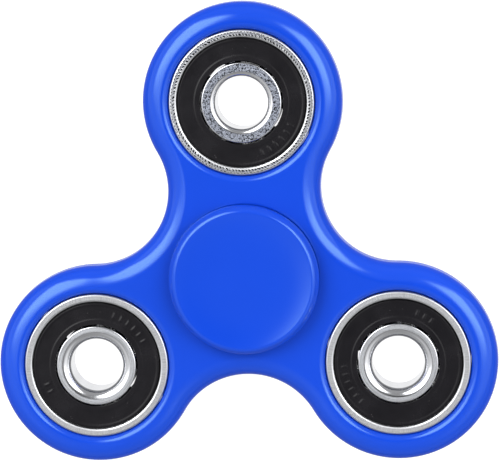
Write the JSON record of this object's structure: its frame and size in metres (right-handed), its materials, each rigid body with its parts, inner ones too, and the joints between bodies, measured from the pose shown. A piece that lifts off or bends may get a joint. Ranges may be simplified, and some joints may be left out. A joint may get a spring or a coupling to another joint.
{
  "type": "fidget spinner",
  "caption": "Three-lobed plastic fidget spinner: a ball bearing as a weight in each lobe and another between two dished finger caps in the middle.",
  "frame": {"origin": "middle of the centre bearing, on the spin axis, halfway through the thickness", "axes": "+Z along the spin axis towards the top cap, +Y towards lobe 1, +X across lobes 2 and 3"},
  "size_m": [0.0764, 0.0701, 0.0138],
  "materials": {
    "body_blue": "glossy moulded plastic",
    "cap_blue": "glossy moulded plastic, slightly softer than the body",
    "ring_steel": "ground and lapped bearing steel, with a fine turned grain on the faces",
    "ball_steel": "polished",
    "cage_steel": "pressed sheet steel",
    "seal_rubber": "moulded rubber, satin"
  },
  "bodies": {
    "hub": {"top_cap": "cap_blue", "bottom_cap": "cap_blue", "centre_inner_ring": "ring_steel"},
    "spinner": {"body": "body_blue", "centre_outer_ring": "ring_steel", "weight_1_outer_ring": "ring_steel", "weight_1_upper_seal": "seal_rubber", "weight_1_lower_seal": "seal_rubber", "weight_2_outer_ring": "ring_steel", "weight_2_upper_seal": "seal_rubber", "weight_2_lower_seal": "seal_rubber", "weight_3_outer_ring": "ring_steel", "weight_3_upper_seal": "seal_rubber", "weight_3_lower_seal": "seal_rubber"},
    "weight_1": {"weight_1_inner_ring": "ring_steel"},
    "weight_2": {"weight_2_inner_ring": "ring_steel"},
    "weight_3": {"weight_3_inner_ring": "ring_steel"},
    "centre_cage": {"centre_cage_upper": "cage_steel", "centre_cage_lower": "cage_steel"},
    "centre_ball_1": {"centre_ball_1": "ball_steel"},
    "centre_ball_2": {"centre_ball_2": "ball_steel"},
    "centre_ball_3": {"centre_ball_3": "ball_steel"},
    "centre_ball_4": {"centre_ball_4": "ball_steel"},
    "centre_ball_5": {"centre_ball_5": "ball_steel"},
    "centre_ball_6": {"centre_ball_6": "ball_steel"},
    "centre_ball_7": {"centre_ball_7": "ball_steel"},
    "weight_1_cage": {"weight_1_cage_upper": "cage_steel", "weight_1_cage_lower": "cage_steel"},
    "weight_1_ball_1": {"weight_1_ball_1": "ball_steel"},
    "weight_1_ball_2": {"weight_1_ball_2": "ball_steel"},
    "weight_1_ball_3": {"weight_1_ball_3": "ball_steel"},
    "weight_1_ball_4": {"weight_1_ball_4": "ball_steel"},
    "weight_1_ball_5": {"weight_1_ball_5": "ball_steel"},
    "weight_1_ball_6": {"weight_1_ball_6": "ball_steel"},
    "weight_1_ball_7": {"weight_1_ball_7": "ball_steel"},
    "weight_2_cage": {"weight_2_cage_upper": "cage_steel", "weight_2_cage_lower": "cage_steel"},
    "weight_2_ball_1": {"weight_2_ball_1": "ball_steel"},
    "weight_2_ball_2": {"weight_2_ball_2": "ball_steel"},
    "weight_2_ball_3": {"weight_2_ball_3": "ball_steel"},
    "weight_2_ball_4": {"weight_2_ball_4": "ball_steel"},
    "weight_2_ball_5": {"weight_2_ball_5": "ball_steel"},
    "weight_2_ball_6": {"weight_2_ball_6": "ball_steel"},
    "weight_2_ball_7": {"weight_2_ball_7": "ball_steel"},
    "weight_3_cage": {"weight_3_cage_upper": "cage_steel", "weight_3_cage_lower": "cage_steel"},
    "weight_3_ball_1": {"weight_3_ball_1": "ball_steel"},
    "weight_3_ball_2": {"weight_3_ball_2": "ball_steel"},
    "weight_3_ball_3": {"weight_3_ball_3": "ball_steel"},
    "weight_3_ball_4": {"weight_3_ball_4": "ball_steel"},
    "weight_3_ball_5": {"weight_3_ball_5": "ball_steel"},
    "weight_3_ball_6": {"weight_3_ball_6": "ball_steel"},
    "weight_3_ball_7": {"weight_3_ball_7": "ball_steel"}
  },
  "joints": [
    {"name": "spin", "type": "hinge", "parent": "hub", "child": "spinner", "pos_m": [0, 0, 0], "axis": [0, 0, 1], "continuous": true},
    {"name": "weight_1_spin", "type": "hinge", "parent": "spinner", "child": "weight_1", "pos_m": [0, 0.02656, 0], "axis": [0, 0, 1], "continuous": true},
    {"name": "weight_2_spin", "type": "hinge", "parent": "spinner", "child": "weight_2", "pos_m": [-0.023, -0.01328, 0], "axis": [0, 0, 1], "continuous": true},
    {"name": "weight_3_spin", "type": "hinge", "parent": "spinner", "child": "weight_3", "pos_m": [0.023, -0.01328, 0], "axis": [0, 0, 1], "continuous": true},
    {"name": "centre_cage_turn", "type": "hinge", "parent": "hub", "child": "centre_cage", "pos_m": [0, 0, 0], "axis": [0, 0, 1], "continuous": true},
    {"name": "centre_ball_1_roll", "type": "hinge", "parent": "centre_cage", "child": "centre_ball_1", "pos_m": [0.0075, 0, 0], "axis": [0, 0, 1], "continuous": true},
    {"name": "centre_ball_2_roll", "type": "hinge", "parent": "centre_cage", "child": "centre_ball_2", "pos_m": [0.00468, 0.00586, 0], "axis": [0, 0, 1], "continuous": true},
    {"name": "centre_ball_3_roll", "type": "hinge", "parent": "centre_cage", "child": "centre_ball_3", "pos_m": [-0.00167, 0.00731, 0], "axis": [0, 0, 1], "continuous": true},
    {"name": "centre_ball_4_roll", "type": "hinge", "parent": "centre_cage", "child": "centre_ball_4", "pos_m": [-0.00676, 0.00325, 0], "axis": [0, 0, 1], "continuous": true},
    {"name": "centre_ball_5_roll", "type": "hinge", "parent": "centre_cage", "child": "centre_ball_5", "pos_m": [-0.00676, -0.00325, 0], "axis": [0, 0, 1], "continuous": true},
    {"name": "centre_ball_6_roll", "type": "hinge", "parent": "centre_cage", "child": "centre_ball_6", "pos_m": [-0.00167, -0.00731, 0], "axis": [0, 0, 1], "continuous": true},
    {"name": "centre_ball_7_roll", "type": "hinge", "parent": "centre_cage", "child": "centre_ball_7", "pos_m": [0.00468, -0.00586, 0], "axis": [0, 0, 1], "continuous": true},
    {"name": "weight_1_cage_turn", "type": "hinge", "parent": "spinner", "child": "weight_1_cage", "pos_m": [0, 0.02656, 0], "axis": [0, 0, 1], "continuous": true},
    {"name": "weight_1_ball_1_roll", "type": "hinge", "parent": "weight_1_cage", "child": "weight_1_ball_1", "pos_m": [0.0075, 0.02656, 0], "axis": [0, 0, 1], "continuous": true},
    {"name": "weight_1_ball_2_roll", "type": "hinge", "parent": "weight_1_cage", "child": "weight_1_ball_2", "pos_m": [0.00468, 0.03242, 0], "axis": [0, 0, 1], "continuous": true},
    {"name": "weight_1_ball_3_roll", "type": "hinge", "parent": "weight_1_cage", "child": "weight_1_ball_3", "pos_m": [-0.00167, 0.03387, 0], "axis": [0, 0, 1], "continuous": true},
    {"name": "weight_1_ball_4_roll", "type": "hinge", "parent": "weight_1_cage", "child": "weight_1_ball_4", "pos_m": [-0.00676, 0.02981, 0], "axis": [0, 0, 1], "continuous": true},
    {"name": "weight_1_ball_5_roll", "type": "hinge", "parent": "weight_1_cage", "child": "weight_1_ball_5", "pos_m": [-0.00676, 0.02331, 0], "axis": [0, 0, 1], "continuous": true},
    {"name": "weight_1_ball_6_roll", "type": "hinge", "parent": "weight_1_cage", "child": "weight_1_ball_6", "pos_m": [-0.00167, 0.01925, 0], "axis": [0, 0, 1], "continuous": true},
    {"name": "weight_1_ball_7_roll", "type": "hinge", "parent": "weight_1_cage", "child": "weight_1_ball_7", "pos_m": [0.00468, 0.0207, 0], "axis": [0, 0, 1], "continuous": true},
    {"name": "weight_2_cage_turn", "type": "hinge", "parent": "spinner", "child": "weight_2_cage", "pos_m": [-0.023, -0.01328, 0], "axis": [0, 0, 1], "continuous": true},
    {"name": "weight_2_ball_1_roll", "type": "hinge", "parent": "weight_2_cage", "child": "weight_2_ball_1", "pos_m": [-0.0155, -0.01328, 0], "axis": [0, 0, 1], "continuous": true},
    {"name": "weight_2_ball_2_roll", "type": "hinge", "parent": "weight_2_cage", "child": "weight_2_ball_2", "pos_m": [-0.01833, -0.00742, 0], "axis": [0, 0, 1], "continuous": true},
    {"name": "weight_2_ball_3_roll", "type": "hinge", "parent": "weight_2_cage", "child": "weight_2_ball_3", "pos_m": [-0.02467, -0.00597, 0], "axis": [0, 0, 1], "continuous": true},
    {"name": "weight_2_ball_4_roll", "type": "hinge", "parent": "weight_2_cage", "child": "weight_2_ball_4", "pos_m": [-0.02976, -0.01003, 0], "axis": [0, 0, 1], "continuous": true},
    {"name": "weight_2_ball_5_roll", "type": "hinge", "parent": "weight_2_cage", "child": "weight_2_ball_5", "pos_m": [-0.02976, -0.01653, 0], "axis": [0, 0, 1], "continuous": true},
    {"name": "weight_2_ball_6_roll", "type": "hinge", "parent": "weight_2_cage", "child": "weight_2_ball_6", "pos_m": [-0.02467, -0.02059, 0], "axis": [0, 0, 1], "continuous": true},
    {"name": "weight_2_ball_7_roll", "type": "hinge", "parent": "weight_2_cage", "child": "weight_2_ball_7", "pos_m": [-0.01833, -0.01914, 0], "axis": [0, 0, 1], "continuous": true},
    {"name": "weight_3_cage_turn", "type": "hinge", "parent": "spinner", "child": "weight_3_cage", "pos_m": [0.023, -0.01328, 0], "axis": [0, 0, 1], "continuous": true},
    {"name": "weight_3_ball_1_roll", "type": "hinge", "parent": "weight_3_cage", "child": "weight_3_ball_1", "pos_m": [0.0305, -0.01328, 0], "axis": [0, 0, 1], "continuous": true},
    {"name": "weight_3_ball_2_roll", "type": "hinge", "parent": "weight_3_cage", "child": "weight_3_ball_2", "pos_m": [0.02768, -0.00742, 0], "axis": [0, 0, 1], "continuous": true},
    {"name": "weight_3_ball_3_roll", "type": "hinge", "parent": "weight_3_cage", "child": "weight_3_ball_3", "pos_m": [0.02133, -0.00597, 0], "axis": [0, 0, 1], "continuous": true},
    {"name": "weight_3_ball_4_roll", "type": "hinge", "parent": "weight_3_cage", "child": "weight_3_ball_4", "pos_m": [0.01624, -0.01003, 0], "axis": [0, 0, 1], "continuous": true},
    {"name": "weight_3_ball_5_roll", "type": "hinge", "parent": "weight_3_cage", "child": "weight_3_ball_5", "pos_m": [0.01624, -0.01653, 0], "axis": [0, 0, 1], "continuous": true},
    {"name": "weight_3_ball_6_roll", "type": "hinge", "parent": "weight_3_cage", "child": "weight_3_ball_6", "pos_m": [0.02133, -0.02059, 0], "axis": [0, 0, 1], "continuous": true},
    {"name": "weight_3_ball_7_roll", "type": "hinge", "parent": "weight_3_cage", "child": "weight_3_ball_7", "pos_m": [0.02768, -0.01914, 0], "axis": [0, 0, 1], "continuous": true}
  ],
  "couplings": [
    {"joint": "centre_cage_turn", "follows": "spin", "ratio": 0.6323},
    {"joint": "centre_ball_1_roll", "follows": "spin", "ratio": 1.7573},
    {"joint": "centre_ball_2_roll", "follows": "spin", "ratio": 1.7573},
    {"joint": "centre_ball_3_roll", "follows": "spin", "ratio": 1.7573},
    {"joint": "centre_ball_4_roll", "follows": "spin", "ratio": 1.7573},
    {"joint": "centre_ball_5_roll", "follows": "spin", "ratio": 1.7573},
    {"joint": "centre_ball_6_roll", "follows": "spin", "ratio": 1.7573},
    {"joint": "centre_ball_7_roll", "follows": "spin", "ratio": 1.7573},
    {"joint": "weight_1_cage_turn", "follows": "weight_1_spin", "ratio": 0.3677},
    {"joint": "weight_1_ball_1_roll", "follows": "weight_1_spin", "ratio": -1.7573},
    {"joint": "weight_1_ball_2_roll", "follows": "weight_1_spin", "ratio": -1.7573},
    {"joint": "weight_1_ball_3_roll", "follows": "weight_1_spin", "ratio": -1.7573},
    {"joint": "weight_1_ball_4_roll", "follows": "weight_1_spin", "ratio": -1.7573},
    {"joint": "weight_1_ball_5_roll", "follows": "weight_1_spin", "ratio": -1.7573},
    {"joint": "weight_1_ball_6_roll", "follows": "weight_1_spin", "ratio": -1.7573},
    {"joint": "weight_1_ball_7_roll", "follows": "weight_1_spin", "ratio": -1.7573},
    {"joint": "weight_2_cage_turn", "follows": "weight_2_spin", "ratio": 0.3677},
    {"joint": "weight_2_ball_1_roll", "follows": "weight_2_spin", "ratio": -1.7573},
    {"joint": "weight_2_ball_2_roll", "follows": "weight_2_spin", "ratio": -1.7573},
    {"joint": "weight_2_ball_3_roll", "follows": "weight_2_spin", "ratio": -1.7573},
    {"joint": "weight_2_ball_4_roll", "follows": "weight_2_spin", "ratio": -1.7573},
    {"joint": "weight_2_ball_5_roll", "follows": "weight_2_spin", "ratio": -1.7573},
    {"joint": "weight_2_ball_6_roll", "follows": "weight_2_spin", "ratio": -1.7573},
    {"joint": "weight_2_ball_7_roll", "follows": "weight_2_spin", "ratio": -1.7573},
    {"joint": "weight_3_cage_turn", "follows": "weight_3_spin", "ratio": 0.3677},
    {"joint": "weight_3_ball_1_roll", "follows": "weight_3_spin", "ratio": -1.7573},
    {"joint": "weight_3_ball_2_roll", "follows": "weight_3_spin", "ratio": -1.7573},
    {"joint": "weight_3_ball_3_roll", "follows": "weight_3_spin", "ratio": -1.7573},
    {"joint": "weight_3_ball_4_roll", "follows": "weight_3_spin", "ratio": -1.7573},
    {"joint": "weight_3_ball_5_roll", "follows": "weight_3_spin", "ratio": -1.7573},
    {"joint": "weight_3_ball_6_roll", "follows": "weight_3_spin", "ratio": -1.7573},
    {"joint": "weight_3_ball_7_roll", "follows": "weight_3_spin", "ratio": -1.7573}
  ]
}
